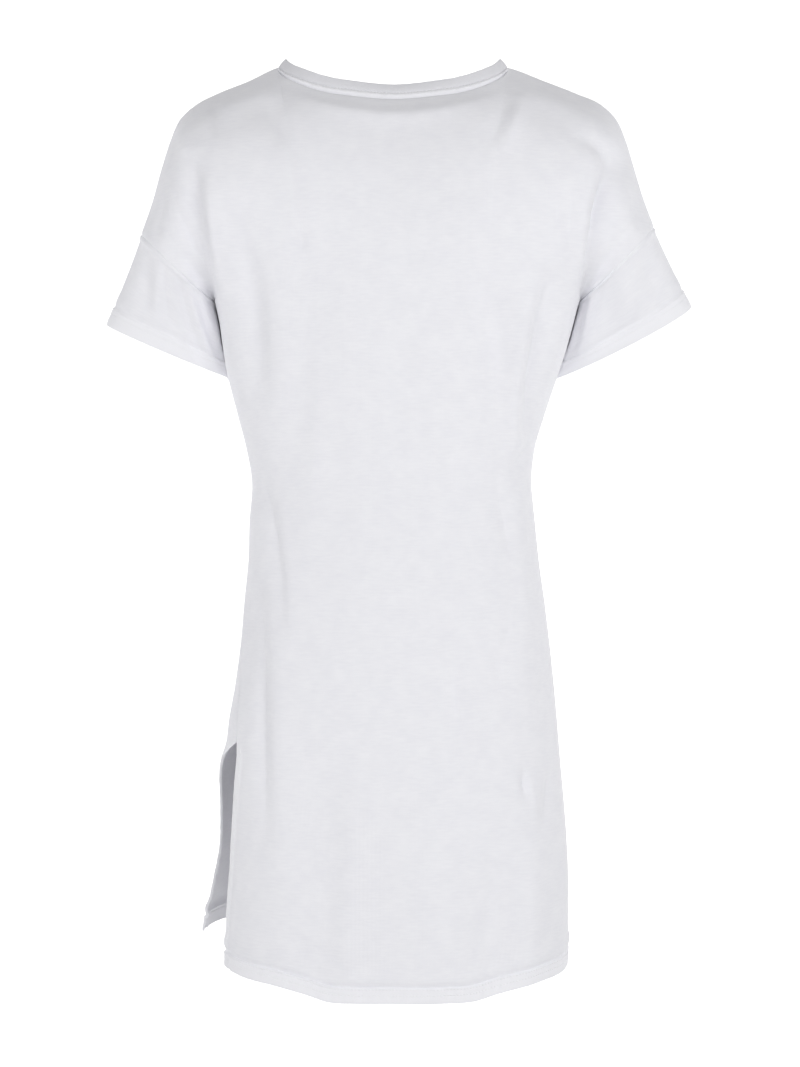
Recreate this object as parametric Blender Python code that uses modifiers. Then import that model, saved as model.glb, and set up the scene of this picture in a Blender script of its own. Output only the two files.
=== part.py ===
# T-shirt dress of cotton jersey, filled out as worn, with one slit on the wearer's left.
# Metres, +Z up, front towards -Y, wearer's left towards +X.
# The origin lies midway between the two high neck points, where the shoulders hold the dress up.
from math import acos, cos, pi, radians, sin

import bpy
import numpy as np

OBJECT_NAME = "tshirt_dress"

# Cloth walls and the gap left between sewn pieces
WALL = 0.0012
BAND_WALL = 0.0020
SEAM_GAP = 0.0005

# How finely the cloth is divided, and how its rows and columns gather near seams
NECK_COLUMNS = 8
SHOULDER_COLUMNS = 11
ARMHOLE_ROWS = 16
WAIST_ROWS = 13
SLIT_ROWS = 6
SLIT_GATHER = 1.4
BODY_ROWS = WAIST_ROWS + SLIT_ROWS
SLEEVE_RINGS = 8
MARGIN = 0.016
LOW_GATHER = 0.35
EDGE_GATHER = 1.35
YOKE_SLACK = 1.02
RIDGE_MARGIN = 0.03
SLEEVE_MARGIN = 0.04
RELAX_TIMES = 6

# What is left of a fold in each row or column, counted from a seam
SEAM_FADE = (0.0, 0.0, 0.4, 0.8)

LEFT = 1
RIGHT = -1
BACK = 1
FRONT = -1

# Level sections of the body from the underarm to the hem: half widths, depths, and where the side seams lie
OVALNESS = 2.4
SECTION_COLUMNS = ("height", "left", "right", "back", "front", "left_seam", "right_seam")
SECTIONS = (
    (-0.232, 0.1700, 0.1755, 0.111, 0.119, -0.015, -0.015),
    (-0.265, 0.1655, 0.1690, 0.109, 0.120, -0.010, -0.010),
    (-0.300, 0.1600, 0.1578, 0.107, 0.118, -0.004, -0.004),
    (-0.340, 0.1498, 0.1445, 0.103, 0.112, 0.000, 0.000),
    (-0.370, 0.1420, 0.1357, 0.101, 0.107, 0.000, 0.000),
    (-0.404, 0.1362, 0.1317, 0.100, 0.104, 0.003, 0.000),
    (-0.442, 0.1385, 0.1345, 0.102, 0.104, 0.009, 0.000),
    (-0.481, 0.1397, 0.1385, 0.106, 0.105, 0.016, 0.000),
    (-0.519, 0.1437, 0.1440, 0.110, 0.107, 0.024, 0.000),
    (-0.558, 0.1472, 0.1490, 0.114, 0.109, 0.034, 0.000),
    (-0.596, 0.1518, 0.1530, 0.117, 0.111, 0.045, 0.000),
    (-0.635, 0.1585, 0.1565, 0.120, 0.113, 0.056, 0.000),
    (-0.673, 0.1612, 0.1595, 0.121, 0.115, 0.060, 0.000),
    (-0.712, 0.1605, 0.1630, 0.121, 0.116, 0.054, 0.000),
    (-0.769, 0.1625, 0.1665, 0.121, 0.117, 0.050, 0.000),
    (-0.866, 0.1650, 0.1665, 0.120, 0.118, 0.042, 0.000),
)

# The slit: where each edge lies below its top, and how far the front edge swings out
SLIT_COLUMNS = ("height", "back_edge", "front_edge", "front_out")
SLIT = (
    (-0.6480, 0.0580, 0.0580, 0.0000),
    (-0.6650, 0.0610, 0.0310, 0.0036),
    (-0.6840, 0.0583, 0.0190, 0.0056),
    (-0.7120, 0.0528, 0.0100, 0.0059),
    (-0.7400, 0.0503, 0.0040, 0.0052),
    (-0.7690, 0.0497, 0.0000, 0.0049),
    (-0.8080, 0.0442, -0.0030, 0.0098),
    (-0.8660, 0.0412, -0.0050, 0.0195),
)
SLIT_REACH = 0.085

# The hem's height from the middle of a panel to its side edge, by share of the half panel's width
HEM_LEVEL = -0.866
HEM_COLUMNS = ("share", "back", "front_left", "front_right")
HEMS = (
    (0.00, -0.8800, -0.8520, -0.8520),
    (0.20, -0.8800, -0.8510, -0.8525),
    (0.32, -0.8795, -0.8470, -0.8540),
    (0.43, -0.8740, -0.8420, -0.8550),
    (0.57, -0.8685, -0.8360, -0.8560),
    (0.80, -0.8645, -0.8310, -0.8580),
    (1.00, -0.8600, -0.8365, -0.8600),
)

# The line over the shoulder, from the middle of the neck to the top of the sleeve seam
SHOULDER_LINE_COLUMNS = ("left_x", "right_x", "y", "left_z", "right_z")
SHOULDER_LINE = (
    (0.0000, 0.0000, -0.012, 0.000, 0.000),
    (0.0620, 0.0620, -0.007, 0.000, 0.000),
    (0.1120, 0.1100, 0.000, -0.006, -0.006),
    (0.1400, 0.1450, 0.000, -0.019, -0.019),
    (0.1700, 0.1760, 0.000, -0.031, -0.031),
    (0.1900, 0.1990, -0.001, -0.041, -0.041),
    (0.2065, 0.2145, -0.002, -0.056, -0.056),
    (0.2150, 0.2230, -0.003, -0.075, -0.075),
    (0.2230, 0.2300, -0.004, -0.100, -0.098),
    (0.2325, 0.2395, -0.005, -0.135, -0.130),
    (0.2430, 0.2500, -0.005, -0.165, -0.158),
)
NECK_POINT = 2

# The profile up the middle of each panel, as y and z, from the underarm level to the middle of the neck
PROFILES = {
    BACK: (
        (0.111, -0.232),
        (0.110, -0.190),
        (0.105, -0.145),
        (0.094, -0.100),
        (0.076, -0.063),
        (0.052, -0.040),
        (0.022, -0.016),
        (-0.012, 0.000),
    ),
    FRONT: (
        (-0.119, -0.232),
        (-0.120, -0.195),
        (-0.116, -0.155),
        (-0.106, -0.118),
        (-0.088, -0.088),
        (-0.068, -0.052),
        (-0.044, -0.020),
        (-0.012, 0.000),
    ),
}

# The neckline seen from above, and the band that stands on it
NECK_DEPTH = {BACK: 0.052, FRONT: 0.088}
NECK_SQUARENESS = {BACK: 4.0, FRONT: 2.2}
BAND_LEAN = 0.0075
BAND_RISE = 0.0095
BAND_RINGS = 3

# The sleeve seam is a loop round the arm, the cuff an oval below it
ARMHOLE_DEPTH = 0.066
ARMHOLE_DROOP = 0.005
SLEEVE_CLEAR = 0.0028
SLEEVE_OPENS = 0.10
BODY_REACH = 0.010
CUFF_DEPTH = 0.049
CUFF_COLUMNS = ("outer_x", "outer_y", "outer_z", "inner_x", "inner_y", "inner_z", "flare", "turn")
CUFFS = {
    LEFT: (0.2800, -0.030, -0.2500, 0.140, -0.058, -0.3075, 1.10, radians(6)),
    RIGHT: (0.2896, -0.030, -0.2324, 0.144, -0.058, -0.3045, 1.06, radians(11)),
}

# Folds as lines on a panel seen square on, troughs negative and ridges positive
FOLD_FULLNESS = 0.6
FOLD_COLUMNS = ("x0", "z0", "x1", "z1", "x2", "z2", "width", "depth")
FOLDS = {
    BACK: (
        (0.191, -0.095, 0.187, -0.155, 0.172, -0.235, 0.013, -0.019),
        (-0.208, -0.090, -0.198, -0.150, -0.178, -0.232, 0.013, -0.019),
        (0.144, -0.146, 0.130, -0.254, 0.124, -0.350, 0.015, -0.006),
        (0.096, -0.175, 0.072, -0.260, 0.096, -0.370, 0.022, -0.004),
        (-0.087, -0.210, -0.096, -0.270, -0.106, -0.340, 0.020, -0.005),
        (-0.133, -0.215, -0.115, -0.310, -0.112, -0.400, 0.012, 0.004),
        (-0.146, -0.205, -0.134, -0.288, -0.125, -0.370, 0.011, -0.007),
        (0.138, -0.405, 0.112, -0.450, 0.101, -0.560, 0.013, -0.007),
        (0.130, -0.480, 0.118, -0.600, 0.119, -0.770, 0.018, -0.005),
        (-0.140, -0.358, -0.124, -0.377, -0.108, -0.394, 0.009, -0.005),
        (-0.096, -0.400, -0.114, -0.500, -0.101, -0.620, 0.016, -0.006),
        (-0.050, -0.550, -0.060, -0.610, -0.070, -0.680, 0.020, -0.004),
        (-0.143, -0.670, -0.138, -0.710, -0.132, -0.760, 0.014, -0.004),
        (0.060, -0.640, 0.066, -0.760, 0.074, -0.900, 0.024, -0.004),
        (-0.020, -0.690, -0.026, -0.800, -0.034, -0.900, 0.026, 0.003),
        (-0.096, -0.700, -0.094, -0.800, -0.086, -0.900, 0.020, -0.004),
    ),
    FRONT: (
        (0.193, -0.100, 0.188, -0.160, 0.174, -0.235, 0.013, -0.016),
        (-0.202, -0.098, -0.196, -0.155, -0.178, -0.232, 0.013, -0.016),
        (0.150, -0.170, 0.124, -0.240, 0.110, -0.330, 0.015, -0.006),
        (-0.152, -0.165, -0.130, -0.245, -0.104, -0.320, 0.016, -0.006),
        (0.084, -0.215, 0.078, -0.300, 0.096, -0.395, 0.020, -0.004),
        (-0.078, -0.220, -0.086, -0.300, -0.100, -0.380, 0.020, -0.004),
        (0.136, -0.400, 0.108, -0.450, 0.098, -0.560, 0.014, -0.007),
        (-0.134, -0.392, -0.108, -0.440, -0.102, -0.550, 0.014, -0.007),
        (0.122, -0.520, 0.112, -0.630, 0.116, -0.760, 0.018, -0.004),
        (-0.128, -0.540, -0.118, -0.660, -0.124, -0.790, 0.018, -0.004),
        (0.048, -0.600, 0.052, -0.740, 0.058, -0.890, 0.026, -0.004),
        (-0.052, -0.620, -0.058, -0.740, -0.066, -0.890, 0.026, -0.004),
        (0.000, -0.560, -0.004, -0.700, -0.006, -0.890, 0.028, 0.003),
    ),
}

# Folds on a sleeve: angle round it from the outer side to the back, and share of its length
SLEEVE_FOLD_COLUMNS = ("angle0", "along0", "angle1", "along1", "width", "depth")
SLEEVE_FOLDS = {
    LEFT: (
        (50, 0.05, 62, 0.75, 12, -0.004),
        (100, 0.05, 84, 0.95, 13, -0.005),
        (250, 0.05, 268, 0.90, 14, -0.005),
        (310, 0.10, 300, 0.80, 12, -0.004),
    ),
    RIGHT: (
        (62, 0.05, 48, 0.80, 12, -0.004),
        (112, 0.05, 92, 0.90, 13, -0.005),
        (240, 0.05, 262, 0.95, 14, -0.005),
        (304, 0.10, 312, 0.80, 12, -0.004),
    ),
}

CLOTH = {"color": (0.86, 0.87, 0.90, 1.0), "roughness": 0.85}
BAND_CLOTH = {"color": (0.84, 0.85, 0.88, 1.0), "roughness": 0.90}


def between(rows, column_names, column, at):
    """One named column of a table, smoothly interpolated along the table's first column."""
    table = np.array(rows, dtype=float)
    keys = table[:, 0]
    values = table[:, column_names.index(column)]
    if keys[0] > keys[-1]:
        keys = keys[::-1]
        values = values[::-1]
    at = np.clip(at, keys[0], keys[-1])
    slopes = np.gradient(values, keys)
    cell = np.clip(np.searchsorted(keys, at) - 1, 0, len(keys) - 2)
    span = keys[cell + 1] - keys[cell]
    t = (at - keys[cell]) / span
    return (
        (2 * t**3 - 3 * t**2 + 1) * values[cell]
        + (t**3 - 2 * t**2 + t) * span * slopes[cell]
        + (3 * t**2 - 2 * t**3) * values[cell + 1]
        + (t**3 - t**2) * span * slopes[cell + 1]
    )


def ease(x):
    x = np.clip(x, 0, 1)
    return x * x * (3 - 2 * x)


def smooth_line(points, steps=240):
    """A close run of points on a smooth curve through a few given ones."""
    points = np.array(points, dtype=float)
    lengths = np.linalg.norm(np.diff(points, axis=0), axis=1)
    keys = np.concatenate([[0], np.cumsum(lengths)])
    names = ("key",) + tuple(range(points.shape[1]))
    rows = np.column_stack([keys, points])
    at = np.linspace(0, keys[-1], steps)
    return np.column_stack([between(rows, names, axis, at) for axis in range(points.shape[1])])


def share_out(line, shares):
    """The points that lie at the given shares of a line's length."""
    steps = np.linalg.norm(np.diff(line, axis=0), axis=1)
    walked = np.concatenate([[0], np.cumsum(steps)])
    walked /= walked[-1]
    return np.column_stack([np.interp(shares, walked, line[:, axis]) for axis in range(3)])


def section_half(height, side, face):
    """Half a level section, from the middle of a panel round to its side seam."""
    name = "left" if side == LEFT else "right"
    width = between(SECTIONS, SECTION_COLUMNS, name, height)
    depths = {
        BACK: between(SECTIONS, SECTION_COLUMNS, "back", height),
        FRONT: between(SECTIONS, SECTION_COLUMNS, "front", height),
    }
    seam = between(SECTIONS, SECTION_COLUMNS, name + "_seam", height)
    if side == LEFT and height < SLIT[0][0]:
        edge = "back_edge" if face == BACK else "front_edge"
        seam = between(SLIT, SLIT_COLUMNS, edge, height)
    towards = BACK if seam >= 0 else FRONT
    seam_angle = acos(towards * (abs(seam) / depths[towards]) ** (OVALNESS / 2))
    start = 0 if face == BACK else pi
    angles = np.linspace(start, seam_angle, 240)
    power = 2 / OVALNESS
    x = side * width * np.abs(np.sin(angles)) ** power
    depth = np.where(np.cos(angles) >= 0, depths[BACK], depths[FRONT])
    y = np.sign(np.cos(angles)) * depth * np.abs(np.cos(angles)) ** power
    return np.column_stack([x, y, np.full_like(x, height)])


def column_shares(neck_share, raised):
    """Shares of a half row: even low down, gathered round the neck point near the top."""
    last = NECK_COLUMNS + SHOULDER_COLUMNS
    even = np.append(np.linspace(0, 1 - MARGIN, last), 1)
    neck = neck_share * np.sin(np.linspace(0, pi / 2, NECK_COLUMNS + 1))
    outward_steps = 1 - (1 - np.linspace(0, 1, SHOULDER_COLUMNS)) ** EDGE_GATHER
    shoulder = neck_share + (1 - MARGIN - neck_share) * outward_steps[1:]
    top = np.concatenate([neck, shoulder, [1]])
    return even * (1 - raised) + top * raised


def shoulder_half(side):
    x_name = "left_x" if side == LEFT else "right_x"
    z_name = "left_z" if side == LEFT else "right_z"
    columns = [SHOULDER_LINE_COLUMNS.index(name) for name in (x_name, "y", z_name)]
    points = np.array(SHOULDER_LINE)[:, columns]
    points[:, 0] *= side
    return points


def shoulder_curve(side):
    """The shoulder line as a close run of points, level where it crosses the middle."""
    points = shoulder_half(side)
    mirrored = points[:0:-1] * np.array([-1, 1, 1])
    curve = smooth_line(np.concatenate([mirrored, points]), 801)
    return curve[400:]


def neck_share_of(side):
    curve = shoulder_curve(side)
    lengths = np.concatenate([[0], np.cumsum(np.linalg.norm(np.diff(curve, axis=0), axis=1))])
    nearest = np.abs(curve[:, 0] - shoulder_half(side)[NECK_POINT][0]).argmin()
    return lengths[nearest] / lengths[-1]


def middle_profile(face):
    """The profile of one panel, level where it meets the other over the middle of the neck."""
    this_side = [(0, y, z) for y, z in PROFILES[face]]
    other_side = [(0, y, z) for y, z in PROFILES[-face]]
    curve = smooth_line(this_side + other_side[-2::-1], 801)
    top = np.linalg.norm(curve - np.array(this_side[-1]), axis=1).argmin()
    return curve[: top + 1]


def row_keys():
    """Shares of the way up the armhole, with a narrow last row at the shoulder seam."""
    return np.append(np.linspace(0, 1 - RIDGE_MARGIN, ARMHOLE_ROWS), 1)


def armhole_half(side, face, keys):
    """The sleeve seam from the underarm, over one face of the body, to the shoulder seam."""
    outer = shoulder_half(side)[-1]
    inner = section_half(SECTIONS[0][0], side, face)[-1]
    centre = (outer + inner) / 2
    reach = (outer - inner) / 2
    angles = pi * (1 - keys)
    across = np.array([0, face * ARMHOLE_DEPTH, -ARMHOLE_DROOP])
    return centre + np.outer(np.cos(angles), reach) + np.outer(np.sin(angles), across)


def yoke_half(side, face):
    """Rows from the underarm level to the shoulder seam and neckline, over half a panel."""
    keys = np.linspace(0, 1, 161)
    shares = column_shares(neck_share_of(side), 1.0)
    lower_shares = column_shares(neck_share_of(side), LOW_GATHER)
    lower = share_out(section_half(SECTIONS[0][0], side, face), lower_shares)
    upper = share_out(shoulder_curve(side), shares)
    middle = share_out(middle_profile(face), keys)
    edge = armhole_half(side, face, keys)
    s = shares[None, :, None] ** 2
    back_off = 1 - np.cos(keys * pi / 2) ** YOKE_SLACK
    up = np.column_stack([keys, back_off, np.sin(keys * pi / 2)])[:, None]
    patch = (1 - up) * lower[None] + up * upper[None] + (1 - s) * middle[:, None] + s * edge[:, None]
    patch -= (1 - up) * ((1 - s) * lower[0] + s * lower[-1]) + up * ((1 - s) * upper[0] + s * upper[-1])
    rows = row_keys()
    neck_x = shoulder_half(side)[NECK_POINT][0]
    columns = []
    for column in range(patch.shape[1]):
        line = patch[:, column]
        top = 1.0
        if column < NECK_COLUMNS:
            across = np.abs(line[:, 0] / neck_x) ** NECK_SQUARENESS[face]
            round_neck = across + (line[:, 1] / NECK_DEPTH[face]) ** 2
            last = np.nonzero((round_neck > 1) & (line[:, 1] * face > 0))[0][-1]
            into = (round_neck[last] - 1) / (round_neck[last] - round_neck[last + 1])
            top = keys[last] + into * (keys[1] - keys[0])
        columns.append(np.column_stack([np.interp(rows * top, keys, line[:, axis]) for axis in range(3)]))
    return np.stack(columns, axis=1)


def hem_height(side, face, shares):
    column = "back"
    if face == FRONT:
        column = "front_left" if side == LEFT else "front_right"
    return between(HEMS, HEM_COLUMNS, column, shares)


def body_heights():
    """Heights of the rows from the hem up, with one row at the slit's top."""
    slit_top = SLIT[0][0]
    down = np.linspace(1, 0, SLIT_ROWS + 1) ** SLIT_GATHER
    lower = slit_top - (slit_top - HEM_LEVEL) * down
    upper = np.linspace(slit_top, SECTIONS[0][0], WAIST_ROWS + 1)
    return np.concatenate([lower, upper[1:-1]])


def body_half(side, face):
    """Rows from the hem up to the underarm level, over half a panel."""
    slit_top = SLIT[0][0]
    rows = []
    for height in body_heights():
        up = (height - HEM_LEVEL) / (SECTIONS[0][0] - HEM_LEVEL)
        shares = column_shares(neck_share_of(side), LOW_GATHER * up**2)
        row = share_out(section_half(height, side, face), shares)
        dip = ease((slit_top - height) / (slit_top - HEM_LEVEL))
        row[:, 2] += (hem_height(side, face, shares) - HEM_LEVEL) * dip
        if side == LEFT and face == FRONT and height < slit_top:
            girth = np.linalg.norm(np.diff(row, axis=0), axis=1).sum()
            near_edge = ease(1 - (1 - shares) * girth / SLIT_REACH)
            row[:, 0] += between(SLIT, SLIT_COLUMNS, "front_out", height) * near_edge
        rows.append(row)
    return np.array(rows)


def relax(grid, rows, times):
    """Evens out the given rows without moving the edges."""
    for _ in range(times):
        around = grid[:-2, 1:-1] + grid[2:, 1:-1] + grid[1:-1, :-2] + grid[1:-1, 2:]
        softened = grid[1:-1, 1:-1] * 0.5 + around * 0.125
        grid[rows, 2:-2] = softened[rows.start - 1 : rows.stop - 1, 1:-1]
    return grid


def outward(grid, face):
    """A unit normal for each point of a panel, pointing out of the dress."""
    across = np.gradient(grid, axis=1)
    upward = np.gradient(grid, axis=0)
    normals = np.cross(upward, across) * face
    return normals / np.linalg.norm(normals, axis=2, keepdims=True)


def fold_fade(along):
    """A fold rises from nothing at its start and dies away at its end."""
    return np.sin(pi * np.clip(along, 0, 1)) ** FOLD_FULLNESS


def fold_heights(x, z, folds):
    """How far the folds of a table lift each point off the smooth cloth."""
    total = np.zeros_like(x)
    t = np.linspace(0, 1, 25)
    start = (1 - t) * (1 - 2 * t)
    middle = 4 * t * (1 - t)
    end = t * (2 * t - 1)
    for fold in folds:
        row = dict(zip(FOLD_COLUMNS, fold))
        line_x = start * row["x0"] + middle * row["x1"] + end * row["x2"]
        line_z = start * row["z0"] + middle * row["z1"] + end * row["z2"]
        apart = np.hypot(x[..., None] - line_x, z[..., None] - line_z)
        nearest = apart.argmin(axis=-1)
        across = np.exp(-((apart.min(axis=-1) / row["width"]) ** 2))
        total += row["depth"] * fold_fade(t[nearest]) * across
    return total


def panel_grid(face):
    """A whole panel from the wearer's right edge to the left one, hem to top."""
    halves = []
    for side in (RIGHT, LEFT):
        half = np.concatenate([body_half(side, face), yoke_half(side, face)])
        halves.append(half[:, ::-1] if side == RIGHT else half[:, 1:])
    grid = np.concatenate(halves, axis=1)
    grid = relax(grid, slice(BODY_ROWS - 4, BODY_ROWS + 6), RELAX_TIMES)
    lift = fold_heights(grid[..., 0], grid[..., 2], FOLDS[face])
    for step, share in enumerate(SEAM_FADE):
        lift[: BODY_ROWS + 1, [step, -1 - step]] *= share
        lift[BODY_ROWS + 1 + step, [0, 1, -2, -1]] *= share
        lift[-1 - step] *= share
    return grid + outward(grid, face) * lift[..., None]


def draw_back(grid, row_or_column, inner, half_gap):
    """Moves an edge of a grid towards its neighbours by half a seam gap."""
    step = grid[inner] - grid[row_or_column]
    step /= np.linalg.norm(step, axis=-1, keepdims=True)
    grid[row_or_column] += step * half_gap


def with_seam_gaps(grid):
    grid = grid.copy()
    everything = slice(None)
    draw_back(grid, (everything, 0), (everything, 1), SEAM_GAP / 2)
    draw_back(grid, (everything, -1), (everything, -2), SEAM_GAP / 2)
    draw_back(grid, (-1, everything), (-2, everything), SEAM_GAP / 2)
    return grid


def sleeve_loop(panels, side):
    """The sleeve seam all round: up the back from the shoulder to the underarm, then up the front."""
    edge = -1 if side == LEFT else 0
    back = panels[BACK][BODY_ROWS:, edge][::-1]
    front = panels[FRONT][BODY_ROWS:, edge]
    return np.concatenate([back, front[1:-1]])


def sleeve_angles():
    back = pi * (1 - row_keys())[::-1]
    return np.concatenate([back, 2 * pi - back[::-1][1:-1]])


def body_beside(panels, side):
    """The body's points and normals below one armhole, where the sleeve lies along it."""
    points = []
    normals = []
    for face in (BACK, FRONT):
        grid = panels[face][: BODY_ROWS + 1]
        beside = (grid[..., 0] * side > 0.09) & (grid[..., 2] > -0.37)
        points.append(grid[beside])
        normals.append(outward(panels[face], face)[: BODY_ROWS + 1][beside])
    return np.concatenate(points), np.concatenate(normals)


def moved_clear(ring, points, normals):
    """A sleeve's ring moved sideways off the body where it would come too near."""
    ring = ring.copy()
    for _ in range(4):
        apart = ring[:, None] - points
        squares = (apart**2).sum(axis=2)
        weights = np.exp((squares.min(axis=1, keepdims=True) - squares) / BODY_REACH**2)
        weights /= weights.sum(axis=1, keepdims=True)
        room = ((apart * normals).sum(axis=2) * weights).sum(axis=1)
        ring[:, 0] += np.maximum(SLEEVE_CLEAR - room, 0) / (weights @ normals)[:, 0]
    return ring


def sleeve_grid(panels, side):
    """Rings of a sleeve from its seam to its cuff."""
    row = dict(zip(CUFF_COLUMNS, CUFFS[side]))
    outer = np.array([side * row["outer_x"], row["outer_y"], row["outer_z"]])
    inner = np.array([side * row["inner_x"], row["inner_y"], row["inner_z"]])
    loop = sleeve_loop(panels, side)
    angles = sleeve_angles()
    deep = CUFF_DEPTH * np.array([0, cos(row["turn"]), -sin(row["turn"])])
    cuff = (outer + inner) / 2
    cuff = cuff + np.outer(np.cos(angles), (outer - inner) / 2) + np.outer(np.sin(angles), deep)
    along = np.append(0, np.linspace(SLEEVE_MARGIN, 1, SLEEVE_RINGS))
    degrees = np.degrees(angles)
    points, normals = body_beside(panels, side)
    rings = []
    for t in along:
        sideways = t ** row["flare"]
        ring = loop + (cuff - loop) * np.array([sideways, sideways, t])
        outwards = ring - ring.mean(axis=0)
        outwards /= np.linalg.norm(outwards, axis=1, keepdims=True)
        lift = np.zeros(len(angles))
        for fold in SLEEVE_FOLDS[side]:
            line = dict(zip(SLEEVE_FOLD_COLUMNS, fold))
            share = (t - line["along0"]) / (line["along1"] - line["along0"])
            centre = line["angle0"] + (line["angle1"] - line["angle0"]) * share
            across = np.exp(-(((degrees - centre) / line["width"]) ** 2))
            lift += line["depth"] * fold_fade(share) * across
        ring = ring + outwards * lift[:, None]
        free = moved_clear(ring, points, normals)
        rings.append(ring + (free - ring) * ease(t / SLEEVE_OPENS))
    grid = np.array(rings)
    draw_back(grid, 0, 1, SEAM_GAP / 2)
    return grid


def neck_loop(panels):
    """The neckline all round, from the right neck point along the back and home along the front."""
    middle = NECK_COLUMNS + SHOULDER_COLUMNS
    inside = slice(middle - NECK_COLUMNS, middle + NECK_COLUMNS + 1)
    back = panels[BACK][-1, inside]
    front = panels[FRONT][-1, inside][::-1]
    return np.concatenate([back, front[1:-1]])


def neckband_grid(panels):
    loop = neck_loop(panels)
    middle = np.array([0, loop[:, 1].mean(), 0])
    inward = middle - loop
    inward[:, 2] = 0
    inward /= np.linalg.norm(inward, axis=1, keepdims=True)
    step = inward * BAND_LEAN + np.array([0, 0, BAND_RISE])
    grid = np.array([loop + step * t for t in np.linspace(0, 1, BAND_RINGS + 1)])
    draw_back(grid, 0, 1, SEAM_GAP / 2)
    return grid


def material(name, look):
    cloth = bpy.data.materials.new(name)
    cloth.use_nodes = True
    shader = cloth.node_tree.nodes["Principled BSDF"]
    shader.inputs["Base Color"].default_value = look["color"]
    shader.inputs["Roughness"].default_value = look["roughness"]
    cloth.diffuse_color = look["color"]
    return cloth


def cloth_object(name, grid, closed, turned, wall, look, collection):
    """Lofts rows of points into an open sheet and gives it a wall on its inner side."""
    rows, columns = grid.shape[:2]
    last = columns if closed else columns - 1
    faces = []
    for row in range(rows - 1):
        for column in range(last):
            beside = (column + 1) % columns
            corners = [row * columns + column, row * columns + beside]
            corners += [corners[1] + columns, corners[0] + columns]
            faces.append(corners[::-1] if turned else corners)
    mesh = bpy.data.meshes.new(name)
    mesh.from_pydata(grid.reshape(-1, 3).tolist(), [], faces)
    mesh.update()
    mesh.shade_smooth()
    piece = bpy.data.objects.new(name, mesh)
    piece.data.materials.append(material(name + "_cloth", look))
    thickness = piece.modifiers.new("wall", "SOLIDIFY")
    thickness.thickness = wall
    thickness.offset = -1
    collection.objects.link(piece)
    return piece


def build():
    for old in list(bpy.data.objects):
        bpy.data.objects.remove(old, do_unlink=True)
    collection = bpy.data.collections.new(OBJECT_NAME)
    bpy.context.scene.collection.children.link(collection)
    panels = {face: panel_grid(face) for face in (BACK, FRONT)}
    cloth_object("back_panel", with_seam_gaps(panels[BACK]), False, True, WALL, CLOTH, collection)
    cloth_object("front_panel", with_seam_gaps(panels[FRONT]), False, False, WALL, CLOTH, collection)
    left = sleeve_grid(panels, LEFT)
    right = sleeve_grid(panels, RIGHT)
    cloth_object("sleeve_left", left, True, True, WALL, CLOTH, collection)
    cloth_object("sleeve_right", right, True, False, WALL, CLOTH, collection)
    cloth_object("neckband", neckband_grid(panels), True, True, BAND_WALL, BAND_CLOTH, collection)


build()
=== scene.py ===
# T-shirt dress of white cotton jersey, seen from the back: fine cloth, its sewing and a plain studio.
# Metres, +Z up, front towards -Y, wearer's left towards +X.
from math import acos, cos, pi, radians, sin

import bmesh
import bpy
import numpy as np
from mathutils import Matrix, Vector


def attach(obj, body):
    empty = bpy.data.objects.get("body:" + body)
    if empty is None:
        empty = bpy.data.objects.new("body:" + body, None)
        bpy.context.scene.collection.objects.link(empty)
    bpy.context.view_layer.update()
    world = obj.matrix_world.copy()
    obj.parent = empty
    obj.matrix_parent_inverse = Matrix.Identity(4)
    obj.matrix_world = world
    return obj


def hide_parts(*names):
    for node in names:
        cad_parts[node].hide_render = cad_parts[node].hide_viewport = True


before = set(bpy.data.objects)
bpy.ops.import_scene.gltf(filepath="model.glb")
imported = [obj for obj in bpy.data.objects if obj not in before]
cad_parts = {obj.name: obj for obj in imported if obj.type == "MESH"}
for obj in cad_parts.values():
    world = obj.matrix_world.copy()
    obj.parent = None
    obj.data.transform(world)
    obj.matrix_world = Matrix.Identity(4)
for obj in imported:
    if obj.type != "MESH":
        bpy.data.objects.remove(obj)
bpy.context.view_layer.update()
print("frame loaded:", ", ".join(sorted(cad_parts)))

left, right = 1, -1
back, front = 1, -1

# The two body panels, from the hem to the shoulder seams
body = {
    "wall": 0.0011,
    "hemWall": 0.0022,
    "ovalness": 2.4,
    "neckColumns": 32,
    "shoulderColumns": 56,
    "slitRows": 30,
    "waistRows": 84,
    "yokeRows": 50,
    "edgeSteps": (0.0, 0.0012, 0.003, 0.0055, 0.0080, 0.0098, 0.0112, 0.0126, 0.015, 0.019),
    "hemSteps": (
        0.0, 0.0012, 0.003, 0.0065, 0.0095, 0.0112, 0.0124,
        0.0136, 0.0148, 0.0161, 0.018, 0.021, 0.025, 0.030,
    ),
    "neckSteps": (
        0.0, 0.0008, 0.002, 0.0036, 0.0054, 0.0066, 0.0077,
        0.0088, 0.0100, 0.0114, 0.013, 0.0155, 0.019,
    ),
    "halfGirth": 0.235,
    "yokeLength": 0.215,
    "lowGather": 0.35,
    "edgeGather": 1.35,
    "yokeSlack": 1.02,
    "underarmRelax": 60,
    "underarmReach": 0.07,
    "underarmEdge": 0.03,
    "slitReach": 0.085,
    "slitFadeRows": 4,
    "hemLevel": -0.866,
    "neckDepth": {back: 0.052, front: 0.088},
    "neckSquareness": {back: 4.0, front: 2.2},
    "neckPoint": 2,
    "neckPointFade": 0.005,
    "armholeDepth": 0.066,
    "armholeDroop": 0.005,
}
sectionNames = ("height", "left", "right", "back", "front", "leftSeam", "rightSeam")
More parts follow.
